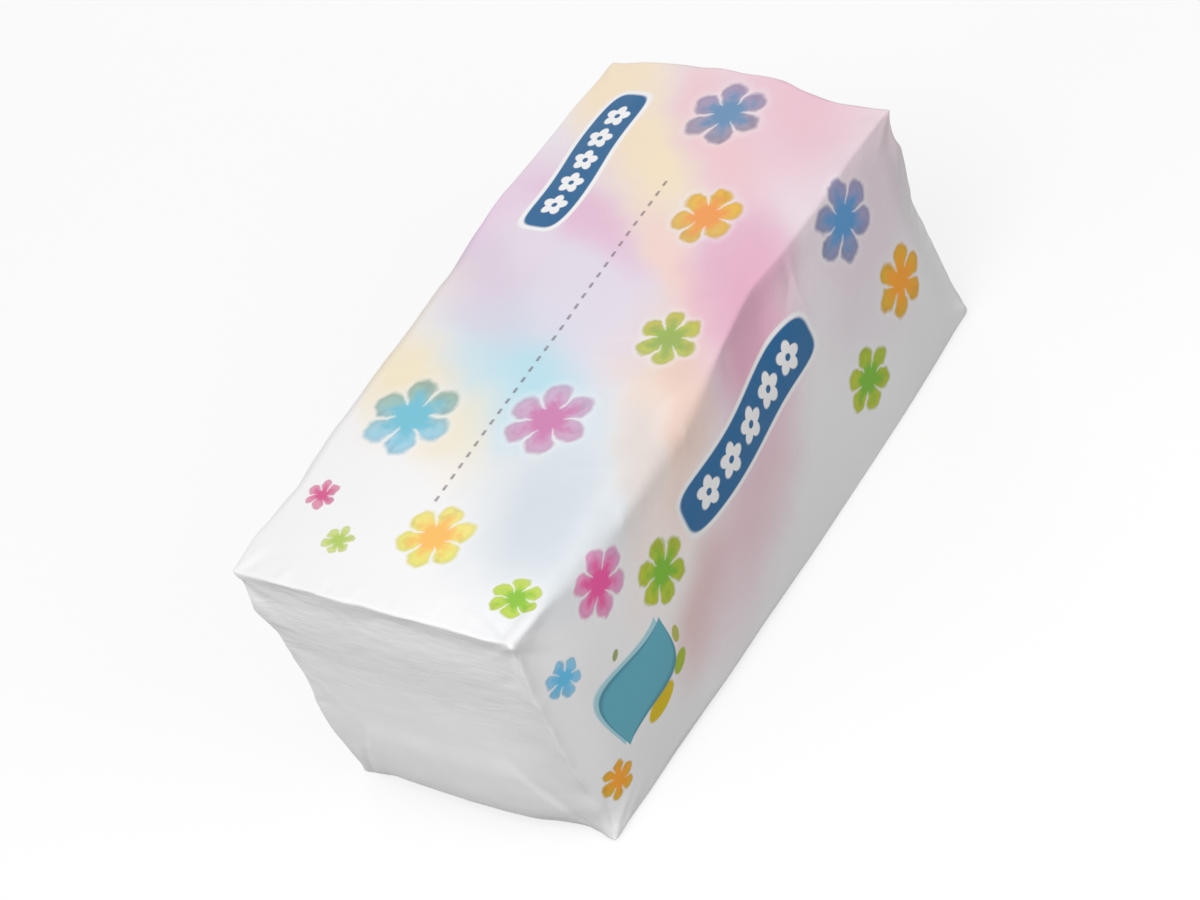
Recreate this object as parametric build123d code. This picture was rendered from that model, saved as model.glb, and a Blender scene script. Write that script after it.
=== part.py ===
from build123d import *
import os

# Soft pack of facial tissues: a stack of folded tissues sealed in one printed film.
# The sealed pack is one solid. The film is drawn tight over the stack: it is creased at the corners,
# rounds off along the middle of the long edges, stands out in small ears at the corners, and is
# folded up over each end in a mitred flap. A row of slits along the top is there to be torn open.
# Millimetres, +Z up, +X along the pack. The origin is at the middle of the base.

# The block
pack_length = 212.0  # between the two end panels, at their middles
top_width = 102.0  # from corner to corner across the top
base_width = 94.0  # from corner to corner across the base
pack_height = 91.0  # from the base to the crown of the top
crown = 3.2  # rise of the top from its corners to its middle
side_bow = 1.4  # swell of each side panel between its edges
end_bulge = 2.2  # swell of each end panel, seen from above

# The long edges, soft in the middle and creased towards the ends
soft_radius = 9.0  # upper edges, where the stack rounds off
crease_radius = 1.6  # upper edges, where the film is drawn to a crease
base_soft_radius = 3.6  # lower edges, where the stack rounds off
base_crease_radius = 2.0  # lower edges, towards the ends
edge_spread = 4.5  # how far the top swells to each side at its middle
base_edge_spread = 3.0  # how far the base swells there
edge_lift = 2.0  # how far the top fills up where its edges are soft
crease_near = 10.0  # length of the crease at the -X end
crease_far = 40.0  # length of the crease at the +X end
crease_opening = 44.0  # length over which a crease opens into a soft edge

# The corners of the film
ear = 0.3  # how far each corner stands out
ear_reach = 14.0  # length over which it flares
waist = 1.2  # how far the side panels draw in between the corners

# The end panels
end_undercut = 1.2  # how far the panel falls back under the top crease
end_undercut_drop = 7.0  # how far below the top crease it has fallen back furthest
end_swell = 0.6  # how far it comes out again, lower down
end_roll_radius = 5.0  # roll of the film from the end to the base

# The mitred flap folded up over each end
flap_foot = 1.8  # from the base to the lower edge of the flap
flap_height = 26.0  # from its lower to its upper edge
flap_inset = 5.0  # from the corner of the base to the foot of the mitre
flap_mitre = 14.0  # how far the mitre leans in over the height of the flap
flap_step = 0.35  # thickness of the folded layers

# The row of slits in the top
slit_count = 31
slit_pitch = 4.15
slit_centre = -3.4  # from the middle of the pack to the middle of the row
slit_length = 2.0
slit_width = 0.5
slit_depth = 0.6

# The lap seam of the film, along the base
seam_offset = 14.0  # from the middle of the base
seam_width = 0.6
seam_depth = 0.3

# Working allowances
station_count = 25  # sections that form the wrapped stack
overrun = 6.0  # how far the wrapped stack runs past each end before the ends are formed
base_sink = 0.8  # how far it runs below the base before the base is flattened

corner_height = pack_height - crown


def ease(value):
    """Runs smoothly from 0 at value 0 to 1 at value 1."""
    value = min(1.0, max(0.0, value))
    return value * value * (3.0 - 2.0 * value)


def between(soft, drawn, share):
    """A size that runs from its soft value to its drawn one."""
    return soft + (drawn - soft) * share


def tightness(x):
    """How far the long edges are drawn to a crease at a station: 0 where soft, 1 at the ends."""
    near = (crease_near + crease_opening - (pack_length / 2 + x)) / crease_opening
    far = (crease_far + crease_opening - (pack_length / 2 - x)) / crease_opening
    return max(ease(near), ease(far))


def flare(x):
    """How far the corners have flared into ears at a station, from 0 to 1."""
    return ease((abs(x) - pack_length / 2 + ear_reach) / ear_reach)


def barrel(x):
    """How far the sides swell out between the two ends at a station: 1 in the middle, 0 at the ends."""
    return 1 - (2 * x / pack_length) ** 4


def wrapped_section(x):
    """The outline of the wrapped stack across its length, at one station."""
    tuck = between(ear, 0, flare(x))
    half_top = top_width / 2 - tuck + edge_spread * barrel(x)
    half_base = base_width / 2 - tuck + base_edge_spread * barrel(x)
    half_middle = (half_top + half_base) / 2 + between(side_bow, -waist, flare(x))
    shoulder = corner_height + between(edge_lift, 0, tightness(x))
    side = ThreePointArc((-half_top, shoulder), (-half_middle, shoulder / 2), (-half_base, -base_sink))
    outline = make_face(
        [
            ThreePointArc((half_top, shoulder), (0, pack_height), (-half_top, shoulder)),
            side,
            Line((-half_base, -base_sink), (half_base, -base_sink)),
            mirror(side, Plane.YZ),
        ]
    )
    upper_radius = between(soft_radius, crease_radius, tightness(x))
    lower_radius = between(base_soft_radius, base_crease_radius, tightness(x))
    outline = fillet(outline.vertices().group_by(Axis.Y)[-1], upper_radius)
    outline = fillet(outline.vertices().group_by(Axis.Y)[0], lower_radius)
    return Plane.YZ.offset(x) * outline


def wrapped_stack():
    """The film drawn round the stack in straight bands, a little longer and lower than the pack."""
    reach = pack_length / 2 + overrun
    step = 2 * reach / (station_count - 1)
    return loft([wrapped_section(i * step - reach) for i in range(station_count)], ruled=True)


def end_form():
    """A wide round body on the base plane whose rim is the end panel at +X, rolled under at its foot."""
    rim = (top_width**2 / 4 + end_bulge**2) / (2 * end_bulge)
    foot = Line((0, 0), (rim - end_roll_radius, 0))
    roll = TangentArc(foot @ 1, (rim, end_roll_radius), tangent=foot % 1)
    undercut_height = corner_height - end_undercut_drop
    panel = Spline(
        roll @ 1,
        (rim + end_swell, (end_roll_radius + undercut_height) / 2),
        (rim - end_undercut, undercut_height),
        (rim, corner_height),
        tangents=(roll % 1, (2 * end_undercut, end_undercut_drop)),
    )
    above = pack_height + crown
    rest = Polyline(panel @ 1, (rim, above), (0, above), (0, 0))
    profile = Plane.XZ * make_face([foot, roll, panel, rest])
    return Pos(pack_length / 2 - rim, 0, 0) * revolve(profile, Axis.Z)


def end_flap(stack, form):
    """The mitred flap at +X: the folded layers stand one step proud of the end panel."""
    half_foot = base_width / 2 - flap_inset
    half_tip = half_foot - flap_mitre
    tip = flap_foot + flap_height
    outline = make_face(
        Polyline((-half_foot, flap_foot), (half_foot, flap_foot), (half_tip, tip), (-half_tip, tip), close=True)
    )
    layers = extrude(Plane.YZ * outline, pack_length)
    return stack & (Pos(flap_step, 0, 0) * form) & layers


def slits():
    """The row of short cuts along the top."""
    cut = Box(slit_length, slit_width, 2 * slit_depth)
    row = GridLocations(slit_pitch, 0, slit_count, 1)
    return [Pos(slit_centre, 0, pack_height) * place * cut for place in row]


def seam():
    """The edge of the lap seam, a shallow line along the base."""
    return Pos(0, seam_offset, 0) * Box(2 * pack_length, seam_width, 2 * seam_depth)


def tissue_pack():
    """The sealed pack as one solid."""
    stack = wrapped_stack()
    far_form = end_form()
    far_flap = end_flap(stack, far_form)
    near_form = mirror(far_form, Plane.YZ)
    near_flap = mirror(end_flap(mirror(stack, Plane.YZ), far_form), Plane.YZ)
    pack = stack & far_form & near_form
    return pack + far_flap + near_flap - slits() - seam()


os.makedirs("parts", exist_ok=True)
export_step(tissue_pack(), "parts/tissue_pack.step")
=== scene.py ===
import math

import bpy
import mathutils
import numpy as np
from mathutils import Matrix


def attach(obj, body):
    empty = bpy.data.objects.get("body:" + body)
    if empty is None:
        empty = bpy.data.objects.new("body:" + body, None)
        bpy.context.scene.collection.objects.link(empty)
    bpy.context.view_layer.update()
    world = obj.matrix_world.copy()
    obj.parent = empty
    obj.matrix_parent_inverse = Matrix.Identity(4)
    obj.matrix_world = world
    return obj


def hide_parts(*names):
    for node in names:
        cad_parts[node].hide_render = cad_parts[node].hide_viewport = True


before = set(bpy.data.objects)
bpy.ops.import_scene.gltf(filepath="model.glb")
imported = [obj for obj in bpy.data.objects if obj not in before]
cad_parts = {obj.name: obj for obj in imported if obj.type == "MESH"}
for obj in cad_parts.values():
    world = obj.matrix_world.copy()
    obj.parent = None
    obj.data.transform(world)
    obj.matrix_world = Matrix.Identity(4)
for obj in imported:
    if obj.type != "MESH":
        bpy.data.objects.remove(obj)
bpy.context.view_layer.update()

# Sizes are in millimetres until a mesh is made of them. +X runs to the far end of the pack.
# The right side, at -Y, is the one in the photograph, and the left side is hidden there.
MM = 0.001

# The wrapped stack, as in the solid
half_length = 106.0
half_top = 51.0
half_base = 47.0
corner_height = 87.8
crown = 3.2
crown_power = 2.2
side_bow = 1.4
end_bulge = 2.2

# The long edges: soft in the middle, drawn to a crease towards the ends
soft_radius_right = 7.5
soft_radius_left = 7.0
crease_radius = 1.2
base_soft_radius = 3.6
base_crease_radius = 1.8
edge_spread = 4.5
base_edge_spread = 3.0
edge_lift = 2.0
crease_near = 12.0
near_opening = 26.0
crease_far_right = 96.0
crease_far_left = 58.0
far_opening = 36.0
straight_zone = (46.0, -10.0)
lift_fade_near = (52.0, 96.0)
lift_fade_far = (22.0, 66.0)

# The corners and the ends
ear = 0.3
ear_reach = 14.0
waist = 1.2
end_zone = 0.75
end_undercut = 1.2
end_undercut_drop = 7.0
end_undercut_reach = 7.0
end_swell = 0.6
end_swell_height = 0.45 * corner_height
end_swell_reach = 26.0
end_fold_radius = 0.9
foot_radius = 9.0
corner_foot_radius = 1.6
foot_opening = 22.0
upright_radius = 0.8
upright_foot_radius = 3.4
upright_zone = (34.0, 4.0)
near_pinch = 1.0
near_pinch_zone = (8.0, 36.0)
lip_pinch = 0.3
pinch_reach = 1.0

# Pointed ears of the film: end, side and whether at the top, and how far each is pulled out
ears = {
    (-1, -1, 1): 1.2, (-1, 1, 1): 0.6, (1, -1, 1): 0.8, (1, 1, 1): 1.0,
    (-1, -1, 0): 2.4, (-1, 1, 0): 1.4, (1, -1, 0): 1.8, (1, 1, 0): 1.4,
}
ear_way = (0.66, 0.72, 0.14)
ear_fade = 4.0
fold_fade = 1.6
uneven_reach = 5.0
uneven_panel = 0.12
uneven_fold = 0.33
uneven_lip = 0.40
jagged_pinched = 0.2
jagged_fold = 0.8

# What is uneven about this one pack: how far the film moves, and where along, across and up the pack.
# A place is given by its start and its end, and a hump by its middle and its reach.
far_edge_in = 2.2
far_edge_down = 2.0
far_edge_hump = (-34.0, 15.0)
far_edge_along = (70.0, half_length)
far_edge_up = (40.0, corner_height)
far_swell = 0.9
far_swell_hump = (34.0, 16.0)
far_fold_in = 1.9
far_fold_in_hump = (44.0, 20.0)
far_fold_out = 0.5
far_fold_out_hump = (76.0, 8.0)
far_fold_along = (88.0, half_length)
far_fold_across = (36.0, half_top)
near_fold_in = 1.5
near_fold_out = 0.8
near_fold_hump = (75.0, 9.0)
near_fold_along = (92.0, half_length)
near_fold_across = (38.0, half_top)
near_foot_swell = 3.7
near_foot_along = (90.0, half_length)
near_foot_across = (-48.0, -22.0)
near_foot_up = (58.0, 14.0)
near_tuck = 1.7
near_tuck_across = (2.0, 12.0)
near_tuck_up = (14.0, 0.0)
dent_depth = 2.2
dent_drop = 0.6
dent_along = (-10.0, 24.0)
dent_across = (22.0, half_top)
dent_up = (56.0, 86.0)
dent_fold = 43.6
dent_fold_lean = 0.5
dent_fold_fade = (-3.0, 14.0)

# The row of slits
slit_count = 31
slit_pitch = 4.15
slit_centre = -3.4
slit_half_length = 1.0
slit_half_width = 0.32
slit_depth = 0.7

# The lap seam of the base
seam_step = 0.3
seam_edge = (14.3, 13.7)

# The lines of the mesh
fold_gap = 0.35
gap_growth = 1.22
gap_along = 1.4
gap_round = 1.15

row_margin = 0.5
slit_margin = 1.2
waist_margin = 0.4

# Creases stray from their lines: how far, in shares of their lengths, and how often
crease_stray = 0.09
crease_bends = 2.5
ripple_cells = 97

# Soft waves of the panels: height and the two lengths of a wave
top_waves = [(0.30, 34.0, 26.0), (0.14, 13.0, 17.0)]
side_waves = [(0.35, 38.0, 30.0), (0.14, 15.0, 20.0)]
end_waves = [(0.10, 30.0, 24.0)]

# The long top edges: height, length, row and seed of their waves, and where they stand out more
edge_waves = [(0.40, 17.0, 3.0, 71), (0.22, 7.0, 5.0, 72)]
near_edge_stand = 0.5
near_edge_along = (84.0, 98.0)
dent_edge_stand = 0.3
dent_edge_hump = (43.0, 6.0)
ridge_reach = 6.0

# How far from a fold the relief of a panel comes in
soft_fold_fade = 5.0
sharp_fold_fade = 1.4
base_fold_fade = 2.0

# Creases of the top: start, end, width and height. First come fans drawn from the corners,
# then pleats at the near and the far edge, then fine lines across the middle.
top_folds = [
    ((-106, -50), (-88, -38), 1.1, 0.50),
    ((-106, -50), (-92, -33), 1.3, -0.45),
    ((-105, -47), (-95, -27), 1.0, 0.35),
    ((-105, -47), (-80, -46), 1.6, -1.00),
    ((-106, 51), (-90, 42), 1.1, 0.50),
    ((-106, 49), (-94, 34), 1.2, -0.40),
    ((-105, 51), (-84, 47), 1.3, 0.35),
    ((106, -51), (86, -45), 1.2, 0.45),
    ((106, -50), (94, -36), 1.2, -0.35),
    ((106, 51), (90, 43), 1.2, 0.45),
    ((106, 50), (96, 35), 1.1, -0.35),
    ((105, -51), (78, -49), 1.3, -0.30),
    ((-106, 33), (-97, 30), 0.9, 0.35),
    ((-106, 14), (-99, 15), 0.8, -0.30),
    ((-106, 5), (-96, 3), 1.0, 0.28),
    ((-106, -12), (-98, -10), 0.9, 0.30),
    ((-106, -26), (-95, -24), 1.0, -0.34),
    ((-106, -36), (-94, -33), 0.9, 0.40),
    ((106, 28), (97, 26), 1.0, 0.30),
    ((106, 8), (98, 9), 1.0, -0.30),
    ((106, -14), (96, -12), 1.1, 0.30),
    ((106, -34), (97, -31), 0.9, -0.30),
    ((14, -44), (-4, -6), 1.0, 0.30),
    ((10, -45), (-10, 2), 1.2, -0.26),
    ((4, -44), (-13, -8), 0.9, 0.22),
    ((19, -43), (3, -8), 1.2, -0.22),
    ((24, -45), (12, -18), 1.1, 0.20),
    ((-6, -43), (-22, -12), 1.1, 0.18),
    ((52, -46), (38, -28), 1.4, 0.25),
    ((-40, -46), (-52, -22), 1.4, 0.20),
    ((30, 44), (18, 20), 1.4, 0.22),
    ((-30, 45), (-20, 24), 1.3, -0.20),
]

# Creases of the side panels: a fold below the soft edge, fans from the corners and pleats beside them
side_folds = [
    ((44, 90), (36, 66), 1.6, -0.55),
    ((46, 88), (40, 58), 1.4, 0.40),
    ((-106, 87), (-92, 79), 1.1, 0.50),
    ((-106, 86), (-97, 66), 1.3, -0.45),
    ((-105, 84), (-88, 70), 1.1, 0.30),
    ((106, 87), (91, 78), 1.2, 0.50),
    ((106, 86), (96, 64), 1.3, -0.50),
    ((106, 80), (97, 60), 1.0, 0.35),
    ((-106, 2), (-90, 12), 1.1, 0.55),
    ((-106, 3), (-97, 22), 1.2, -0.45),
    ((-104, 1), (-82, 6), 1.2, 0.40),
    ((106, 2), (92, 13), 1.1, 0.50),
    ((106, 4), (97, 24), 1.2, -0.40),
    ((-18, 88), (-24, 72), 1.4, 0.30),
    ((8, 88), (2, 74), 1.3, -0.28),
    ((-50, 88), (-58, 76), 1.4, 0.28),
    ((106, 48), (97, 44), 1.0, 0.40),
    ((106, 34), (98, 35), 1.0, -0.35),
]
side_dent = 0.9
side_dent_along = (30.0, 15.0)
side_dent_up = (78.0, 7.0)

# Creases of the end panels: fans from the corners, pleats at the left fold and tucks beside the flap
end_folds = [
    ((-51, 87), (-34, 74), 1.1, 0.50),
    ((-51, 85), (-40, 62), 1.2, -0.45),
    ((51, 87), (33, 76), 1.1, 0.55),
    ((51, 84), (38, 66), 1.2, -0.50),
    ((50, 70), (30, 62), 1.0, 0.40),
    ((50, 58), (34, 56), 1.0, -0.45),
    ((50, 46), (36, 40), 1.1, 0.40),
    ((50, 34), (40, 36), 0.9, -0.40),
    ((-50, 72), (-36, 66), 1.0, -0.30),
    ((-47, 2), (-30, 31), 1.2, 0.35),
    ((47, 2), (30, 31), 1.2, 0.35),
    ((-46, 1), (-24, 9), 1.2, -0.40),
    ((46, 1), (26, 10), 1.2, -0.40),
    ((-20, 84), (14, 80), 1.2, -0.45),
    ((30, 83), (2, 78), 1.1, 0.40),
]

# Long wrinkles of the end panels, most where the film is slack under the top crease
wrinkle_height = 0.06
fine_wrinkle_height = 0.08
wrinkle_bend = 3.0
slack_least = 0.05
slack_up = (30.0, 72.0)

# The mitred flap of the end panels
flap_half_foot = 44.0
flap_foot = 2.0
flap_lean = 15.0 / 29.0
flap_step = 0.40
flap_edge = (-0.9, 0.9)
flap_up = (36.0, 26.0)
flap_groove = 0.45
flap_groove_gap = 1.2
flap_groove_width = 1.4
flap_groove_up = (33.0, 20.0)

# The print lies on the flat film: x along the pack, y across the top and on down the sides
film_unit = 100.0
film_white = (241, 240, 241)
wash_drift = 16.0
wash_drift_scale = 0.035
wash_edge = (1.0, 0.1)

# Where the edges of printed motifs fade, in shares of their reach
print_edge = (1.04, 0.96)
small_print_edge = (1.08, 0.92)

# Soft fields of the ground, two of them painted shade along the soft right edge: middle, reach, lean in
# degrees, tint and strength
washes = [
    ((40, 0), (112, 92), 0, (227, 213, 226), 1.0),
    ((-24, 14), (54, 26), 46, (212, 226, 232), 0.9),
    ((-17, -3), (54, 25), 48, (186, 222, 234), 1.0),
    ((-32, 30), (58, 22), 56, (240, 228, 200), 1.0),
    ((-12, -42), (60, 22), 30, (231, 206, 188), 1.0),
    ((14, 38), (50, 22), 60, (219, 204, 221), 0.9),
    ((14, 0), (56, 24), 52, (224, 217, 230), 0.9),
    ((43, 17), (46, 13), 62, (228, 190, 212), 1.0),
    ((70, 14), (74, 21), 47, (244, 226, 196), 1.0),
    ((102, 46), (40, 26), 40, (247, 226, 196), 0.9),
    ((80, -6), (66, 18), 45, (240, 201, 204), 1.0),
    ((30, -22), (50, 11), 52, (241, 210, 202), 0.9),
    ((98, -28), (78, 44), 50, (237, 198, 210), 1.0),
    ((34, -44), (48, 23), 44, (229, 184, 204), 1.0),
    ((-36, -66), (56, 27), 50, (248, 233, 226), 0.9),
    ((18, -61), (54, 34), 45, (226, 174, 196), 1.0),
    # Painted shade where the soft right edge rolls down, in a beige like the cream print beside it
    ((-15, -55), (42, 14), 40, (230, 198, 184), 0.7),
    ((-62, -36), (52, 38), 20, (209, 217, 223), 1.0),
    # Painted shade on the soft right edge, where the top turns down towards the side
    ((-34, -49), (28, 14), 40, (218, 209, 205), 0.8),
    ((-41, -105), (38, 18), 40, (230, 200, 197), 0.9),
    ((-10, -100), (62, 28), 34, (231, 195, 205), 0.8),
    ((76, -74), (60, 46), 40, (226, 212, 220), 0.8),
    ((30, 72), (80, 34), -52, (229, 190, 222), 0.7),
    ((-20, 78), (60, 26), -50, (244, 227, 200), 0.8),
]

# Petals, in shares of a flower's radius: where their round tips start, half their width at the heart,
# its growth outwards, the tone of their edges and the reach of the heart
petal_tip = 0.67
petal_waist = 0.04
petal_growth = 0.45
petal_edge = (0.62, 0.58, 0.60)
petal_edge_strength = 0.40
petal_rim = (1.16, 0.74)
petal_turn = (-0.7, 0.7)
petal_cover = 0.96
streak_strength = 0.5
heart_reach = 0.30
heart_blur = 0.14
flush_reach = 0.66
glow_rim = (1.7, 1.0)
glow_outside = 0.25
glow_inside = 0.45
brush_stray = 2.4
brush_scale = 0.20

# Inks of the flowers: heart, petals on one side and petals on the other
inks = {
    "blue": ((96, 142, 182), (164, 152, 172), (168, 152, 184)),
    "orange": ((240, 154, 74), (224, 184, 88), (234, 186, 62)),
    "green": ((150, 176, 82), (190, 196, 96), (196, 192, 84)),
    "lilac": ((204, 124, 174), (206, 168, 198), (204, 176, 206)),
    "cyan": ((110, 190, 212), (160, 208, 228), (160, 188, 172)),
    "pink": ((210, 84, 138), (222, 148, 176), (222, 148, 176)),
    "lime": ((174, 200, 92), (208, 218, 140), (208, 218, 140)),
    "fresh green": ((136, 188, 48), (188, 212, 78), (194, 214, 88)),
    "yellow": ((246, 186, 92), (230, 226, 116), (238, 228, 128)),
    "leaf green": ((116, 180, 6), (186, 198, 28), (176, 192, 22)),
    "sky blue": ((88, 184, 226), (140, 200, 232), (140, 200, 232)),
    "strong orange": ((248, 160, 0), (226, 176, 18), (234, 174, 10)),
    "strong blue": ((72, 144, 200), (140, 146, 180), (156, 152, 188)),
    "rose": ((232, 76, 154), (232, 154, 194), (226, 160, 200)),
}

# Flowers: middle, radius, turn in degrees and ink
flowers = [
    (89.0, -3.7, 12.8, 16, "blue"),
    (50, -21.0, 11.2, -3, "orange"),
    (4.8, -34.4, 10.0, 13, "green"),
    (-31.5, -16, 13.0, 15, "lilac"),
    (-40.8, 25.4, 14.4, 15, "cyan"),
    (-73, 36.2, 5.3, 11, "pink"),
    (-86.9, 21, 5.3, -3, "lime"),
    (-78, -7.6, 11.4, -2, "yellow"),
    (-90.1, -42.4, 7.4, 14, "fresh green"),
    (69.6, -63.6, 13.4, 15, "strong blue"),
    (80.1, -99.8, 11.6, 0, "strong orange"),
    (52.7, -113.4, 10.8, 16, "leaf green"),
    (-49.8, -82.3, 10.6, 17, "leaf green"),
    (-70.2, -63.6, 10.8, 13, "rose"),
    (-95.7, -75.9, 6.6, 26, "sky blue"),
    (-95.4, -121.9, 6.8, 3, "strong orange"),
]

# The banners on the top and the side panels: middle and reach
banners = [((63, 31), (28.0, 6.6)), ((2.2, -78), (37.0, 8.6))]
banner_border = 1.5
banner_tint = (38, 100, 148)
banner_wave = 0.16
banner_blossoms = 5
blossom_reach = 0.62
blossom_waist = 0.62
blossom_hole = (0.18, 0.26)

# The badge on the side panels, a bent leaf between two points
badge_middle = (-72.1, -104.2)
badge_half_length = 18.6
badge_half_width = 14.4
badge_turn = 40.6
badge_bend = 4.5
badge_shift = 2.6
badge_lean = 0.24
badge_point = 1.3
badge_tint = (96, 170, 188)
badge_shade = (62, 124, 142)
badge_shade_strength = 0.8
badge_shade_edge = (0.78, 1.0)
badge_back = (-73.7, -102.3)
badge_back_edge = (1.06, 0.94)
badge_back_tint = (166, 208, 218)
badge_leaves = [
    ((-55.3, -102.8), (1.5, 3.0), -10, (184, 184, 96)),
    ((-57.9, -112.0), (4.0, 2.3), 38, (164, 184, 52)),
    ((-69.9, -116.0), (6.8, 3.4), 12, (214, 186, 18)),
    ((-76.9, -86.6), (1.8, 1.1), 42, (160, 164, 110)),
]

# How the slits show: painted shade in their cuts, its tint and its strength
slit_painted_shade_tint = (132, 120, 130)
slit_painted_shade_strength = 0.68

# The sheen of the film, its crinkles, and the end panels' plain white and finest pleats
sheen_rough = 0.36
sheen_spread = 0.18
sheen_level = 0.22
crinkle_scale = 0.22
crinkle_strength = 0.25
crinkle_depth = 0.0004
end_white = (-0.5, 2.0)
end_pleat_pitch = (0.30, 0.05, 0.0)
end_pleat_height = 3.6
end_pleat_start = (-0.5, 3.0)
end_pleat_stop = (66.0, 16.0)

# The floor: its own tone, the tone that the camera and reflections see, and how far that is plain white
floor_tone = (0.18, 0.18, 0.18, 1.0)
floor_seen = (0.96, 0.96, 0.96, 1.0)
floor_white = 0.74
floor_roughness = 0.9
floor_reach = 6.0

# Soft round lamps, all turned to the pack: name, watts, size and place in metres
lamps = [
    ("overhead", 5.1, 0.6, (-0.55, -0.28, 1.0)),
    ("side_fill", 1.6, 0.4, (-0.06, -0.65, 0.45)),
    ("end_fill", 0.75, 0.4, (-0.60, 0.20, 0.42)),
    ("far_fill", 1.2, 0.5, (0.60, 0.60, 0.35)),
]
lamp_target = (0.0, 0.0, 0.05)
sky_strength = 0.46

# The camera, fitted to the corners of the pack in the photograph
camera_place = (-0.5532, -0.7399, 0.8519)
camera_turn = (45.004, 21.345, -56.366)
camera_lens = 126.0
camera_sensor = 36.0


def ease(value, start=0.0, end=1.0):
    """Runs smoothly from 0 at start to 1 at end."""
    share = np.clip((value - start) / (end - start), 0.0, 1.0)
    return share * share * (3.0 - 2.0 * share)


def hump(value, middle, reach):
    """A smooth hump of height 1 at middle that dies out within about two reaches."""
    return np.exp(-(((value - middle) / reach) ** 2))


def ripple(u, v, seed):
    """Smooth uneven ripples between -1 and 1, about one unit across."""
    table = np.random.default_rng(seed).uniform(-1.0, 1.0, (ripple_cells, ripple_cells))
    cell_u, cell_v = np.floor(u).astype(int), np.floor(v).astype(int)
    share_u, share_v = ease(u - cell_u), ease(v - cell_v)
    rows = [cell_u % ripple_cells, (cell_u + 1) % ripple_cells]
    columns = [cell_v % ripple_cells, (cell_v + 1) % ripple_cells]
    low = table[rows[0], columns[0]] * (1 - share_v) + table[rows[0], columns[1]] * share_v
    high = table[rows[1], columns[0]] * (1 - share_v) + table[rows[1], columns[1]] * share_v
    return low * (1 - share_u) + high * share_u


def lines_from_fold(reach, open_gap):
    """Distances from a fold: close together at the fold, then an open gap apart."""
    lines, gap = [0.0], fold_gap
    while lines[-1] + gap < reach:
        lines.append(lines[-1] + gap)
        gap = min(open_gap, gap * gap_growth)
    return np.array(lines)


def lines_along():
    """Mesh lines across the pack, with some at the ends of every slit."""
    middles = slit_centre + slit_pitch * (np.arange(slit_count) - (slit_count - 1) / 2)
    steps = np.array([-1.0, -0.75, 0.75, 1.0]) * slit_half_length
    steps = np.append(steps, slit_pitch / 2)
    row = (middles[:, None] + steps).ravel()
    near = -half_length + lines_from_fold(half_length + row[0] - row_margin, gap_along)
    far = half_length - lines_from_fold(half_length - row[-1] - row_margin, gap_along)
    return np.concatenate([near, row, far[::-1]])


def lines_across():
    """Mesh lines along the pack on the top and the base, with some beside the slits."""
    edge = half_top - lines_from_fold(half_top - slit_margin, gap_round)
    slit = slit_half_width * np.array([-2.5, -1.0, 0.0, 1.0, 2.5])
    return np.concatenate([-edge, slit, edge[::-1]])


def lines_up():
    """Mesh lines round the pack, from the base to the top corners."""
    foot = lines_from_fold(corner_height / 2 - waist_margin, gap_round)
    return np.concatenate([foot, corner_height - foot[::-1]])


def film_lattice():
    """The folded film as a box of panels: its corners, its faces and their places on the flat film."""
    xs, ys, zs = lines_along(), lines_across(), lines_up()
    nx, ny, nz = len(xs), len(ys), len(zs)
    quads, places = [], []

    def panel(first, second, key, flat, turned):
        a, b = np.meshgrid(np.arange(first), np.arange(second), indexing="ij")
        corners = key(a, b)
        spots = np.stack(flat(a, b), -1)
        low, high = slice(None, -1), slice(1, None)
        ring = [(low, low), (high, low), (high, high), (low, high)]
        if turned:
            ring = ring[::-1]
        quads.append(np.stack([corners[r].ravel() for r in ring], 1))
        places.append(np.stack([spots[r].reshape(-1, 2) for r in ring], 1))

    def key(i, j, k):
        return (i * ny + j) * nz + k

    down = corner_height - zs
    past_side = 2 * half_top + corner_height
    panel(nx, ny, lambda i, j: key(i, j, nz - 1), lambda i, j: (xs[i], ys[j]), False)
    panel(nx, ny, lambda i, j: key(i, j, 0), lambda i, j: (xs[i], past_side - ys[j]), True)
    panel(nx, nz, lambda i, k: key(i, 0, k), lambda i, k: (xs[i], -half_top - down[k]), False)
    panel(nx, nz, lambda i, k: key(i, ny - 1, k), lambda i, k: (xs[i], half_top + down[k]), True)
    panel(ny, nz, lambda j, k: key(nx - 1, j, k), lambda j, k: (half_length + down[k], ys[j]), False)
    panel(ny, nz, lambda j, k: key(0, j, k), lambda j, k: (-half_length - down[k], ys[j]), True)
    quads, places = np.concatenate(quads), np.concatenate(places)
    used, corners = np.unique(quads, return_inverse=True)
    box = np.stack([xs[used // (ny * nz)], ys[used // nz % ny], zs[used % nz]], 1)
    return box, corners.reshape(quads.shape), places


def roll_fold(depth_a, depth_b, radius):
    """Rolls the fold between two panels to a radius. Both depths are below the panels' planes."""
    p, q = 1 - depth_a / radius, 1 - depth_b / radius
    inside = (p > 0) & (q > 0)
    most, least = np.maximum(p, q), np.minimum(p, q)
    turn = math.pi / 4 * least / np.where(inside, most, 1.0)
    long, short = most * np.cos(turn), most * np.sin(turn)
    rolled_p, rolled_q = np.where(p >= q, long, short), np.where(p >= q, short, long)
    rolled_a, rolled_b = radius * (1 - rolled_p), radius * (1 - rolled_q)
    return np.where(inside, rolled_a, depth_a), np.where(inside, rolled_b, depth_b)


def tightness(x, side):
    """How far the long edges are drawn to a crease: 0 where soft, 1 towards the ends."""
    near = ease(half_length + x, crease_near + near_opening, crease_near)
    crease_far = np.where(side > 0, crease_far_left, crease_far_right)
    return np.maximum(near, ease(half_length - x - crease_far, far_opening, 0.0))


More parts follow.
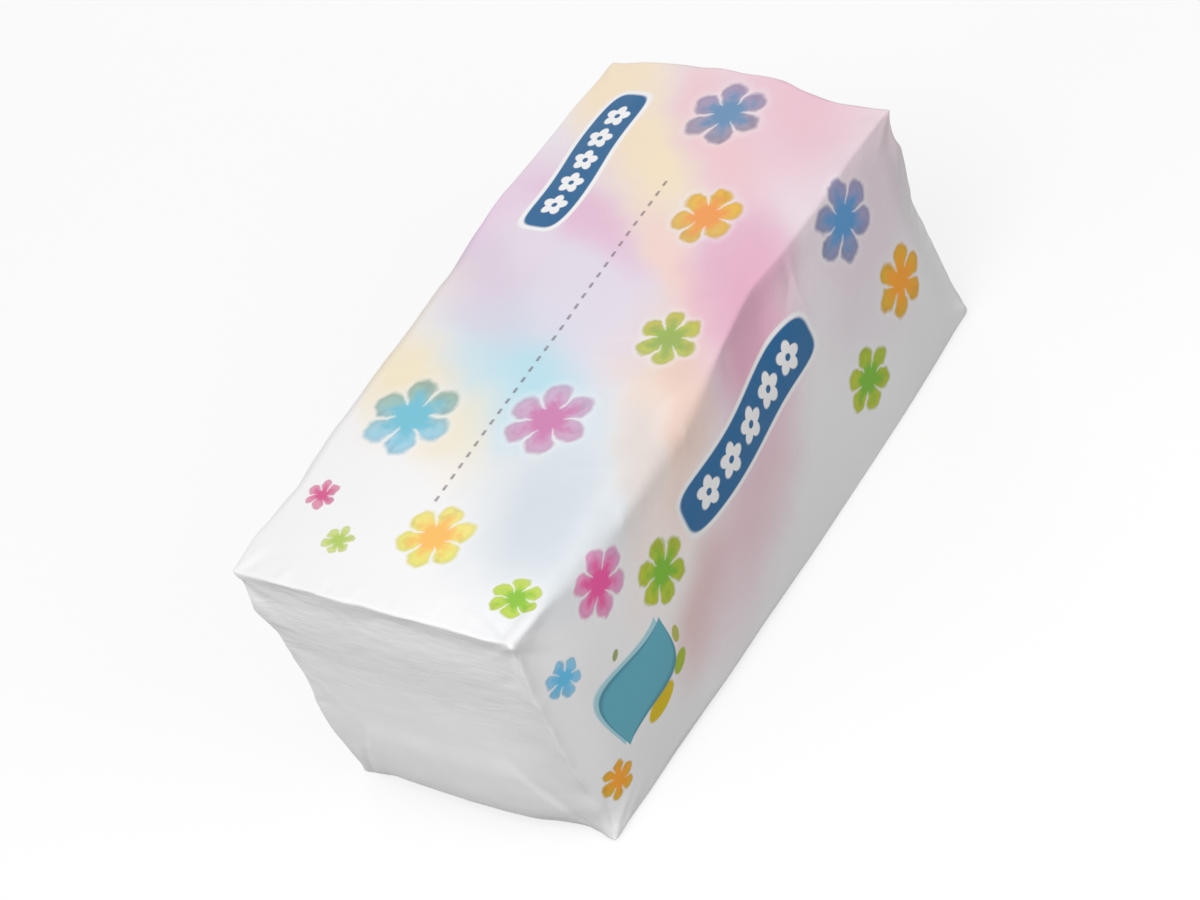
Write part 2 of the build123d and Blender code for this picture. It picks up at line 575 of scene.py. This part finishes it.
def rolled_box(box):
    """The box of panels with all its folds rolled, tight or soft as on the pack."""
    x, y, z = box.T.copy()
    side, end = np.sign(y), np.sign(x)
    tight = tightness(x, side)
    soft_radius = np.where(side > 0, soft_radius_left, soft_radius_right)
    upper_radius = soft_radius + (crease_radius - soft_radius) * tight
    below, inward = roll_fold(corner_height - z, half_top - abs(y), upper_radius)
    y, z = side * (half_top - inward), corner_height - below
    lower_radius = base_soft_radius + (base_crease_radius - base_soft_radius) * tight
    above, inward = roll_fold(z, half_top - abs(y), lower_radius)
    y, z = side * (half_top - inward), above
    below, inward = roll_fold(corner_height - z, half_length - abs(x), np.full_like(x, end_fold_radius))
    x, z = end * (half_length - inward), corner_height - below
    opened = ease(abs(y), half_top, half_top - foot_opening)
    above, inward = roll_fold(
        z, half_length - abs(x), corner_foot_radius + (foot_radius - corner_foot_radius) * opened)
    x, z = end * (half_length - inward), above
    upright = upright_radius + (upright_foot_radius - upright_radius) * ease(z, *upright_zone)
    depth, inward = roll_fold(half_length - abs(x), half_top - abs(y), upright)
    return end * (half_length - depth), side * (half_top - inward), z


def drawn_pack(x, y, z):
    """Draws the rolled box into the shape of the pack: tapered, crowned, swollen and waisted."""
    up, across, along = z / corner_height, y / half_top, x / half_length
    filled = 1 - np.maximum(ease(-x, *lift_fade_near), ease(x, *lift_fade_far))
    flare = ease(abs(x), half_length - ear_reach, half_length)
    width = half_base + (half_top - half_base) * up - ear * (1 - flare)
    upper_spread = edge_spread * np.where(y < 0, ease(x, *straight_zone), 1.0)
    width = width + (1 - along**4) * (base_edge_spread + (upper_spread - base_edge_spread) * up)
    bow = side_bow + (-waist - side_bow) * flare
    width = width + bow * 4 * up * (1 - up) * abs(across) ** 2
    raised = up**2 * (crown * (1 - abs(across) ** crown_power) + edge_lift * filled * across**2)
    near_end = ease(abs(along), end_zone, 1.0)
    undercut = -end_undercut * hump(z, corner_height - end_undercut_drop, end_undercut_reach)
    swell = end_swell * hump(z, end_swell_height, end_swell_reach)
    push = near_end * (-end_bulge * across**2 + undercut + swell)
    return x + np.sign(x) * push, across * width, z + raised


def settle(points, box):
    """What is uneven about this pack: an edge sinks, one dents, folds draw in and the near foot swells."""
    x, y, z = box.T
    far_edge = ease(x, *far_edge_along) * ease(z, *far_edge_up)
    sunk = far_edge * hump(y, *far_edge_hump)
    swollen = far_edge * hump(y, *far_swell_hump)
    far_fold = ease(x, *far_fold_along) * ease(-y, *far_fold_across)
    in_and_out = far_fold_in * hump(z, *far_fold_in_hump) - far_fold_out * hump(z, *far_fold_out_hump)
    drawn_in = far_fold * in_and_out
    near_fold = ease(-x, *near_fold_along) * ease(y, *near_fold_across)
    hanging = near_fold * hump(z, *near_fold_hump)
    bulging = near_foot_swell * ease(y, *near_foot_across) * ease(z, *near_foot_up)
    tucked = near_tuck * ease(z, *near_tuck_up) * ease(half_top + y, *near_tuck_across)
    foot = ease(-x, *near_foot_along) * (bulging - tucked)
    before_fold = dent_fold - dent_fold_lean * (corner_height - z) - x
    dented = ease(before_fold, *dent_fold_fade) * ease(x, *dent_along)
    dented = dented * ease(-y, *dent_across) * ease(z, *dent_up)
    points[:, 0] += far_swell * swollen - far_edge_in * sunk - drawn_in - foot - near_fold_in * hanging
    points[:, 1] += drawn_in + near_fold_out * hanging + dent_depth * dented
    points[:, 2] -= far_edge_down * sunk + dent_drop * dented


def pull_ears(points, box):
    """Draws the corners of the film out into small pointed ears, and makes the end folds a little uneven."""
    x, y, z = box.T
    for (end, side, up), pull in ears.items():
        beside = (x - end * half_length) ** 2 + (y - side * half_top) ** 2
        away = np.sqrt(beside + ((z - up * corner_height) / (1 + up)) ** 2)
        share = pull * np.exp(-away / ear_fade)
        points += share[:, None] * np.multiply(ear_way, (end, side, up))
    lip = np.exp(-(half_length - abs(x)) / fold_fade)
    from_side, below_top = half_top - abs(y), corner_height - z
    upright = lip * np.exp(-from_side / fold_fade)
    at_fold = np.maximum(np.exp(-from_side / uneven_reach), np.exp(-below_top / uneven_reach))
    uneven = lip * (uneven_panel + uneven_fold * at_fold)
    points[:, 0] += np.sign(x) * uneven * ripple(y / 7.0 + 9 * np.sign(x), z / 7.0, 61)
    wavy = ripple(y / 9.0 + 5 * np.sign(x), z * 0 + 3.0, 62)
    points[:, 2] += ease(z, 60.0, corner_height) * lip * uneven_lip * wavy
    jagged = np.where((x < 0) & (y < 0), jagged_pinched, jagged_fold)
    points[:, 1] += np.sign(y) * upright * jagged * ripple(z / 5.5, 7 * np.sign(x) + 3 * np.sign(y), 63)


def mesh_normals(points, quads):
    """The outward direction at every corner of the mesh."""
    a, b, c, d = (points[quads[:, i]] for i in range(4))
    faces = np.cross(c - a, d - b)
    out = np.zeros_like(points)
    for i in range(4):
        np.add.at(out, quads[:, i], faces)
    return out / np.linalg.norm(out, axis=1, keepdims=True)


def crease(u, v, start, end, width, height):
    """A fold along a line on a panel, highest in its first half and gone at its end."""
    run = np.subtract(end, start)
    length = np.hypot(*run)
    along = ((u - start[0]) * run[0] + (v - start[1]) * run[1]) / length**2
    off = ((v - start[1]) * run[0] - (u - start[0]) * run[1]) / length
    bend = ripple(along * crease_bends + start[0], along * 0 + end[1], 5)
    off = off + crease_stray * length * bend * ease(along, 0.1, 0.6)
    return height * np.exp(-abs(off) / width) * ease(along, -0.05, 0.15) * ease(along, 1.0, 0.4)


def creased(rise, u, v, folds):
    """A panel's relief with a list of creases added."""
    for start, end, width, height in folds:
        rise = rise + crease(u, v, start, end, width, height)
    return rise


def soft_waves(u, v, waves, seed):
    """The soft waves of a panel, added up, each with a seed of its own."""
    return sum(height * ripple(u / run, v / rise, seed + i) for i, (height, run, rise) in enumerate(waves))


def top_relief(x, y):
    """Relief of the top: soft waves and its creases."""
    return creased(soft_waves(x, y, top_waves, 11), x, y, top_folds)


def side_relief(x, z, seed):
    """Relief of a side panel: soft waves, a dent under the soft edge and its creases."""
    rise = soft_waves(x, z, side_waves, seed)
    rise = rise - side_dent * hump(x, *side_dent_along) * hump(z, *side_dent_up)
    return creased(rise, x, z, side_folds)


def end_relief(y, z, seed):
    """Relief of an end panel: long wrinkles under the top crease, the mitred flap and its creases."""
    bent = z + wrinkle_bend * ripple(y / 24.0, z / 30.0, seed)
    wrinkles = 1 - 2 * abs(ripple(y / 19.0 + bent / 40.0, bent / 3.2, seed + 1))
    fine = 1 - 2 * abs(ripple(y / 13.0, bent / 2.0 + y / 60.0, seed + 2))
    slack = slack_least + (1 - slack_least) * ease(z, *slack_up)
    rise = wrinkle_height * slack * wrinkles + fine_wrinkle_height * slack * fine
    rise = rise + soft_waves(y, z, end_waves, seed + 3)
    mitre = (flap_half_foot - abs(y)) - (z - flap_foot) * flap_lean
    rise = rise + flap_step * ease(mitre, *flap_edge) * ease(z, *flap_up)
    groove = np.exp(-abs(mitre + flap_groove_gap) / flap_groove_width)
    rise = rise - flap_groove * groove * ease(z, *flap_groove_up)
    return creased(rise, y, z, end_folds)


def long_edge_wobble(x, side):
    """How the long top edges stand out unevenly along the pack, most near a corner and beside the dent."""
    uneven = sum(height * ripple(x / run, row * side, seed) for height, run, row, seed in edge_waves)
    return uneven + near_edge_stand * ease(-x, *near_edge_along) + dent_edge_stand * hump(x, *dent_edge_hump)


def fold_relief(box):
    """How far the film stands out at every corner of the mesh, panel by panel, fading at the folds."""
    x, y, z = box.T
    rise = np.zeros(len(x))
    top, base = z == corner_height, z == 0.0
    right, left = y == -half_top, y == half_top
    near, far = x == -half_length, x == half_length
    rise[top] = top_relief(x[top], y[top])
    for side, seed in ((right, 21), (left, 31)):
        rise[side] = side_relief(x[side], z[side], seed)
    for end, seed in ((near, 41), (far, 51)):
        rise[end] = end_relief(y[end], z[end], seed)
    rise[base] = -seam_step * ease(y[base], *seam_edge)
    below_top, from_side, from_end = corner_height - z, half_top - abs(y), half_length - abs(x)
    at_side, at_end = right | left, near | far
    rise *= np.where(top, ease(from_side, 0.0, soft_fold_fade), 1.0)
    rise *= np.where(at_side, ease(below_top, 0.0, soft_fold_fade), 1.0)
    end_fade = ease(below_top, 0.0, sharp_fold_fade) * ease(from_side, 0.0, sharp_fold_fade)
    rise *= np.where(at_end, end_fade, ease(from_end, 0.0, sharp_fold_fade))
    rise *= np.where(base, ease(from_side, 0.0, base_fold_fade), ease(z, 0.0, base_fold_fade))
    from_ridge = np.where(at_end, half_length, np.maximum(below_top, from_side))
    rise += long_edge_wobble(x, np.sign(y)) * ease(from_ridge, ridge_reach, 0.0)
    from_upright = np.where(at_end, from_side, np.where(at_side, from_end, half_length))
    pinched = (x < 0) * (y < 0) * ease(z, *near_pinch_zone) * np.exp(-from_upright / pinch_reach)
    from_lip = np.where(at_end, below_top, np.where(top, from_end, half_length))
    lip = np.exp(-from_lip / pinch_reach) * (1 - pinched)
    return rise + near_pinch * pinched + lip_pinch * lip


def film_mesh():
    """The film of the pack as one closed mesh, with its places on the flat film as a UV map."""
    box, quads, places = film_lattice()
    points = np.stack(drawn_pack(*rolled_box(box)), 1)
    settle(points, box)
    pull_ears(points, box)
    points += mesh_normals(points, quads) * fold_relief(box)[:, None]
    x, y, z = box.T
    on_top = z == corner_height
    middles = (x - slit_centre) / slit_pitch + (slit_count - 1) / 2
    from_middle = abs(middles - np.round(middles)) * slit_pitch
    in_row = (np.round(middles) >= 0) & (np.round(middles) < slit_count)
    slit = on_top & in_row & (abs(y) < 0.01) & (from_middle < slit_half_length * 0.9)
    points[slit, 2] -= slit_depth
    points[:, 2] = np.maximum(points[:, 2], 0.0)
    mesh = bpy.data.meshes.new("tissue_film")
    mesh.from_pydata((points * MM).tolist(), [], quads.tolist())
    flat = mesh.uv_layers.new(name="film")
    flat.data.foreach_set("uv", (places / film_unit).astype(np.float32).ravel())
    mesh.polygons.foreach_set("use_smooth", np.ones(len(quads), bool))
    mesh.validate()
    mesh.update()
    piece = bpy.data.objects.new("tissue_film", mesh)
    bpy.context.scene.collection.objects.link(piece)
    return piece


def shown(*levels):
    """A colour written as it shows on a screen, from 0 to 255, as a shader takes it."""
    share = [level / 255.0 for level in levels]
    return (*[s / 12.92 if s <= 0.04045 else ((s + 0.055) / 1.055) ** 2.4 for s in share], 1.0)


class Ink:
    """A socket of a material's nodes, with sums as Python writes them."""

    def __init__(self, tree, socket):
        self.tree, self.socket = tree, socket

    def node(self, kind, settings, sockets, out=0):
        """Any node: its type, its settings, which are set first, and its sockets' values or links."""
        made = self.tree.nodes.new(kind)
        for name, value in settings.items():
            setattr(made, name, value)
        for name, value in sockets.items():
            if isinstance(value, Ink):
                self.tree.links.new(value.socket, made.inputs[name])
            else:
                made.inputs[name].default_value = value
        return Ink(self.tree, made.outputs[out])

    def sum(self, operation, *values):
        """A sum of the Math node that Python has no sign for."""
        return self.node("ShaderNodeMath", {"operation": operation}, dict(enumerate(values)))

    def __add__(self, other):
        return self.sum("ADD", self, other)

    def __radd__(self, other):
        return self.sum("ADD", other, self)

    def __sub__(self, other):
        return self.sum("SUBTRACT", self, other)

    def __rsub__(self, other):
        return self.sum("SUBTRACT", other, self)

    def __mul__(self, other):
        return self.sum("MULTIPLY", self, other)

    def __rmul__(self, other):
        return self.sum("MULTIPLY", other, self)

    def __truediv__(self, other):
        return self.sum("DIVIDE", self, other)

    def __rtruediv__(self, other):
        return self.sum("DIVIDE", other, self)

    def __pow__(self, other):
        return self.sum("POWER", self, other)

    def fade(self, start, end):
        """Runs smoothly from 0 where this value is at start to 1 where it is at end."""
        return self.node("ShaderNodeMapRange", {"interpolation_type": "SMOOTHSTEP"},
                         {"Value": self, "From Min": start, "From Max": end})

    def vector(self, operation, *values, out=0):
        """A sum of places or colours."""
        return self.node("ShaderNodeVectorMath", {"operation": operation}, dict(enumerate(values)), out)

    def noise(self, settings, out=0):
        """Flat noise at this place on the film, as a value or, from its second output, as a colour."""
        return self.node("ShaderNodeTexNoise", {"noise_dimensions": "2D"}, {"Vector": self, **settings}, out)

    def printed_over(self, under, colour):
        """A colour laid over another where this value is 1."""
        return self.node("ShaderNodeMix", {"data_type": "RGBA"}, {0: self, 6: under, 7: colour}, out=2)

    def from_motif(self, middle, reach, turn):
        """This place measured from a motif's middle, in shares of its reach and along its own turn."""
        step = self.vector("SUBTRACT", self, (*middle, 0.0))
        turned = self.node("ShaderNodeVectorRotate", {"rotation_type": "Z_AXIS"},
                           {"Vector": step, "Angle": -math.radians(turn)})
        return turned.vector("DIVIDE", turned, (*reach, 1.0))

    def strayed(self, noise, stray):
        """This place moved about by a noise."""
        step = noise.vector("SUBTRACT", noise, (0.5, 0.5, 0.5))
        return self.vector("ADD", self, step.vector("MULTIPLY", step, (stray, stray, 0.0)))

    def length(self):
        return self.vector("LENGTH", self, out=1)

    def parts(self):
        """The two coordinates of a place on the film."""
        split = self.node("ShaderNodeSeparateXYZ", {}, {"Vector": self})
        return split, Ink(self.tree, split.socket.node.outputs[1])


def washed_film(place):
    """The pale ground of the print: soft slanting fields of colour that fade to white at the near end, and
    two fields of painted shade along the soft right edge.
    """
    drifted = place.strayed(place.noise({"Scale": wash_drift_scale, "Detail": 2.0}, out=1), wash_drift)
    colour = shown(*film_white)
    for middle, reach, lean, tint, strength in washes:
        share = strength * drifted.from_motif(middle, reach, lean).length().fade(*wash_edge)
        colour = share.printed_over(colour, shown(*tint))
    return colour


def flowers_over(ground, place):
    """Six-petalled flowers over the ground, each with a strong heart, paler petals and a white glow."""
    white = shown(*film_white)
    brush = place.noise({"Scale": brush_scale, "Detail": 2.0}, out=1)
    place = place.strayed(brush, brush_stray)
    nearest, spot, heart, petal, far_petal = 9.0, (9.0, 0.0, 0.0), white, white, white
    for x, y, radius, turn, ink in flowers:
        local = place.from_motif((x, y), (radius, radius), turn)
        away = local.length()
        nearer = away.sum("LESS_THAN", away, nearest)
        nearest = away.sum("MINIMUM", away, nearest)
        spot = nearer.node("ShaderNodeMix", {"data_type": "VECTOR"}, {0: nearer, 4: spot, 5: local}, out=1)
        heart, petal, far_petal = (
            nearer.printed_over(under, shown(*tint))
            for under, tint in zip((heart, petal, far_petal), inks[ink]))
    along, across = spot.parts()
    turn = along.sum("ARCTAN2", across, along)
    turn = turn.sum("WRAP", turn, math.pi / 6, -math.pi / 6)
    out, aside = nearest * turn.sum("COSINE", turn), nearest * turn.sum("SINE", turn)
    past_tip = out.sum("MAXIMUM", out - petal_tip, 0.0)
    width = petal_waist + petal_growth * out.sum("MINIMUM", out, petal_tip)
    rim = (past_tip ** 2.0 + aside ** 2.0) ** 0.5 / width
    body = rim.sum("MAXIMUM", rim.fade(*petal_rim), nearest.fade(heart_reach + heart_blur, heart_reach))
    glow = rim.fade(*glow_rim) * (glow_outside + glow_inside * nearest.fade(1.0, 0.6))
    petals = along.fade(*petal_turn).printed_over(petal, far_petal)
    streak, _ = brush.parts()
    edge = petal_edge_strength * (rim.fade(0.40, 1.0) * nearest.fade(0.40, 0.8))
    streaks = streak.fade(0.45, 0.75) * nearest.fade(0.4, 0.7) * streak_strength
    edge = edge.sum("MAXIMUM", edge, streaks)
    petals = edge.printed_over(petals, petals.vector("MULTIPLY", petals, petal_edge))
    vein = streak.fade(0.2, 0.6) * rim.fade(0.9, 0.1) * nearest.fade(0.95, 0.45)
    flush = nearest.fade(flush_reach, heart_reach)
    colour = vein.sum("MAXIMUM", vein, flush).printed_over(petals, heart)
    return (petal_cover * body).printed_over(glow.printed_over(ground, white), colour)


def bent_leaf(place, middle):
    """How far out a place is in a leaf bent like an S between two points: 1 at its edge."""
    along, across = place.from_motif(middle, (badge_half_length, 1.0), badge_turn).parts()
    along = along.sum("MAXIMUM", along.sum("MINIMUM", along, 1.0), -1.0)
    full = along.sum("MAXIMUM", 1.0 - along * along, 0.0001)
    spine = badge_shift * full - badge_bend * along.sum("SINE", math.pi * along)
    aside = across.sum("ABSOLUTE", across - spine)
    return aside / (badge_half_width * full ** badge_point * (1.0 - badge_lean * along))


def badge_over(ground, place):
    """A plain badge like a waving leaf, with a paler one behind it and small leaves beside it."""
    behind = bent_leaf(place, badge_back).fade(*badge_back_edge)
    colour = behind.printed_over(ground, shown(*badge_back_tint))
    for middle, reach, turn, tint in badge_leaves:
        leaf = place.from_motif(middle, reach, turn).length()
        colour = leaf.fade(*small_print_edge).printed_over(colour, shown(*tint))
    face = bent_leaf(place, badge_middle)
    shaded = badge_shade_strength * face.fade(*badge_shade_edge)
    tint = shaded.printed_over(shown(*badge_tint), shown(*badge_shade))
    return face.fade(*print_edge).printed_over(colour, tint)


def banners_over(ground, place):
    """Plain waving banners with a white border and a row of small white blossoms."""
    white = shown(*film_white)
    colour = ground
    for middle, reach in banners:
        along, across = place.from_motif(middle, (1.0, 1.0), 0.0).parts()
        across = across - banner_wave * reach[1] * along.sum("SINE", along * (math.pi / reach[0]))
        for border, tint in ((banner_border, white), (0.0, shown(*banner_tint))):
            sheet = (along / (reach[0] + border)) ** 8.0 + (across / (reach[1] + border)) ** 4.0
            colour = (sheet ** 0.25).fade(*print_edge).printed_over(colour, tint)
        step = 2 * reach[0] / (banner_blossoms + 1)
        beside = along.sum("WRAP", along, step / 2, -step / 2)
        turn = along.sum("ARCTAN2", across, beside)
        lobe = blossom_waist + (1 - blossom_waist) * turn.sum("ABSOLUTE", turn.sum("COSINE", 2.5 * turn))
        away = (beside ** 2.0 + across ** 2.0) ** 0.5 / (blossom_reach * reach[1])
        in_row = along.sum("LESS_THAN", along.sum("ABSOLUTE", along), step * banner_blossoms / 2)
        blossom = in_row * (away / lobe).fade(*small_print_edge) * away.fade(*blossom_hole)
        colour = blossom.printed_over(colour, white)
    return colour


def slits_over(ground, along, across):
    """The row of slits, with painted shade where they part the film."""
    step = (along - slit_centre) / slit_pitch
    from_middle = step.sum("ABSOLUTE", step.sum("WRAP", step, 0.5, -0.5)) * slit_pitch
    # Painted shade in each cut, where the film parts
    parted_film_shade = from_middle.fade(slit_half_length + 0.2, slit_half_length - 0.2)
    parted_film_shade = parted_film_shade * across.sum("ABSOLUTE", across).fade(slit_half_width + 0.3, slit_half_width)
    parted_film_shade = parted_film_shade * step.sum("LESS_THAN", step.sum("ABSOLUTE", step), slit_count / 2)
    return (slit_painted_shade_strength * parted_film_shade).printed_over(ground, shown(*slit_painted_shade_tint))


def film_material():
    """Printed satin film: the print, painted shade in its slits, its sheen and the finest of its crinkles.
    """
    material = bpy.data.materials.new("printed_film")
    material.use_nodes = True
    tree = material.node_tree
    shader = tree.nodes["Principled BSDF"]
    flat = Ink(tree, None).node("ShaderNodeUVMap", {"uv_map": "film"}, {})
    place = flat.vector("MULTIPLY", flat, (film_unit, film_unit, 0.0))
    along, across = place.parts()
    on_left_side = across.sum("GREATER_THAN", across, half_top)
    facing = across * (1.0 - 2.0 * on_left_side)
    mirrored = along.node("ShaderNodeCombineXYZ", {}, {"X": along, "Y": facing})
    colour = badge_over(flowers_over(washed_film(place), mirrored), mirrored)
    colour = slits_over(banners_over(colour, mirrored), along, across)
    past_end = along.sum("ABSOLUTE", along) - half_length
    colour = past_end.fade(*end_white).printed_over(colour, shown(*film_white))
    tree.links.new(colour.socket, shader.inputs["Base Color"])
    crinkle = place.noise({"Scale": crinkle_scale, "Detail": 4.0, "Roughness": 0.55})
    drawn_out = place.vector("MULTIPLY", place, end_pleat_pitch)
    pleat = drawn_out.noise({"Scale": 1.0, "Detail": 3.0, "Distortion": 0.6})
    pleat = pleat.sum("ABSOLUTE", pleat - 0.5)
    pleat = pleat * past_end.fade(*end_pleat_start) * past_end.fade(*end_pleat_stop)
    height = crinkle - end_pleat_height * pleat
    bump = flat.node("ShaderNodeBump", {},
                     {"Strength": crinkle_strength, "Distance": crinkle_depth, "Height": height})
    tree.links.new(bump.socket, shader.inputs["Normal"])
    sheen = sheen_rough + sheen_spread * crinkle
    tree.links.new(sheen.socket, shader.inputs["Roughness"])
    shader.inputs["Specular IOR Level"].default_value = sheen_level
    return material


def floor_material():
    """Pale matt floor, which the camera and reflections see nearly white, with the shadow kept."""
    material = bpy.data.materials.new("pale_floor")
    material.use_nodes = True
    tree = material.node_tree
    shader = tree.nodes["Principled BSDF"]
    shader.inputs["Roughness"].default_value = floor_roughness
    camera_ray = Ink(tree, None).node("ShaderNodeLightPath", {}, {})
    rays = camera_ray.socket.node.outputs
    glossy, clear = Ink(tree, rays["Is Glossy Ray"]), Ink(tree, rays["Is Transmission Ray"])
    seen = glossy.sum("MAXIMUM", camera_ray, glossy.sum("MAXIMUM", glossy, clear))
    tone = seen.printed_over(floor_tone, floor_seen)
    tree.links.new(tone.socket, shader.inputs["Base Color"])
    white = seen.node("ShaderNodeEmission", {}, {"Color": (1.0, 1.0, 1.0, 1.0), "Strength": 1.0})
    mixed = seen.node("ShaderNodeMixShader", {},
                      {0: floor_white * seen, 1: Ink(tree, shader.outputs[0]), 2: white})
    tree.links.new(mixed.socket, tree.nodes["Material Output"].inputs["Surface"])
    return material


def studio():
    """A pale floor, soft light from above and the camera of the photograph."""
    scene = bpy.context.scene
    scene.view_settings.view_transform = "Standard"
    floor_mesh = bpy.data.meshes.new("floor")
    corners = [(-1, -1), (1, -1), (1, 1), (-1, 1)]
    floor_mesh.from_pydata([(x * floor_reach, y * floor_reach, 0.0) for x, y in corners], [], [(0, 1, 2, 3)])
    floor = bpy.data.objects.new("floor", floor_mesh)
    scene.collection.objects.link(floor)
    floor_mesh.materials.append(floor_material())
    world = bpy.data.worlds.new("studio")
    world.use_nodes = True
    sky = world.node_tree.nodes["Background"]
    sky.inputs["Color"].default_value = (1.0, 1.0, 1.0, 1.0)
    sky.inputs["Strength"].default_value = sky_strength
    scene.world = world
    for name, energy, size, place in lamps:
        soft = bpy.data.lights.new(name, "AREA")
        soft.shape = "DISK"
        soft.size = size
        soft.energy = energy
        lamp = bpy.data.objects.new(name, soft)
        lamp.location = place
        toward = mathutils.Vector(lamp_target) - lamp.location
        lamp.rotation_euler = toward.to_track_quat("-Z", "Y").to_euler()
        lamp.visible_camera = False
        scene.collection.objects.link(lamp)
    lens = bpy.data.cameras.new("photograph")
    lens.lens = camera_lens
    lens.sensor_width = camera_sensor
    lens.clip_start, lens.clip_end = 0.01, 50.0
    camera = bpy.data.objects.new("photograph", lens)
    camera.location = camera_place
    camera.rotation_euler = [math.radians(turn) for turn in camera_turn]
    scene.collection.objects.link(camera)
    scene.camera = camera


studio()
film = film_mesh()
film.data.materials.append(film_material())
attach(film, "root")
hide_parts("tissue_pack")
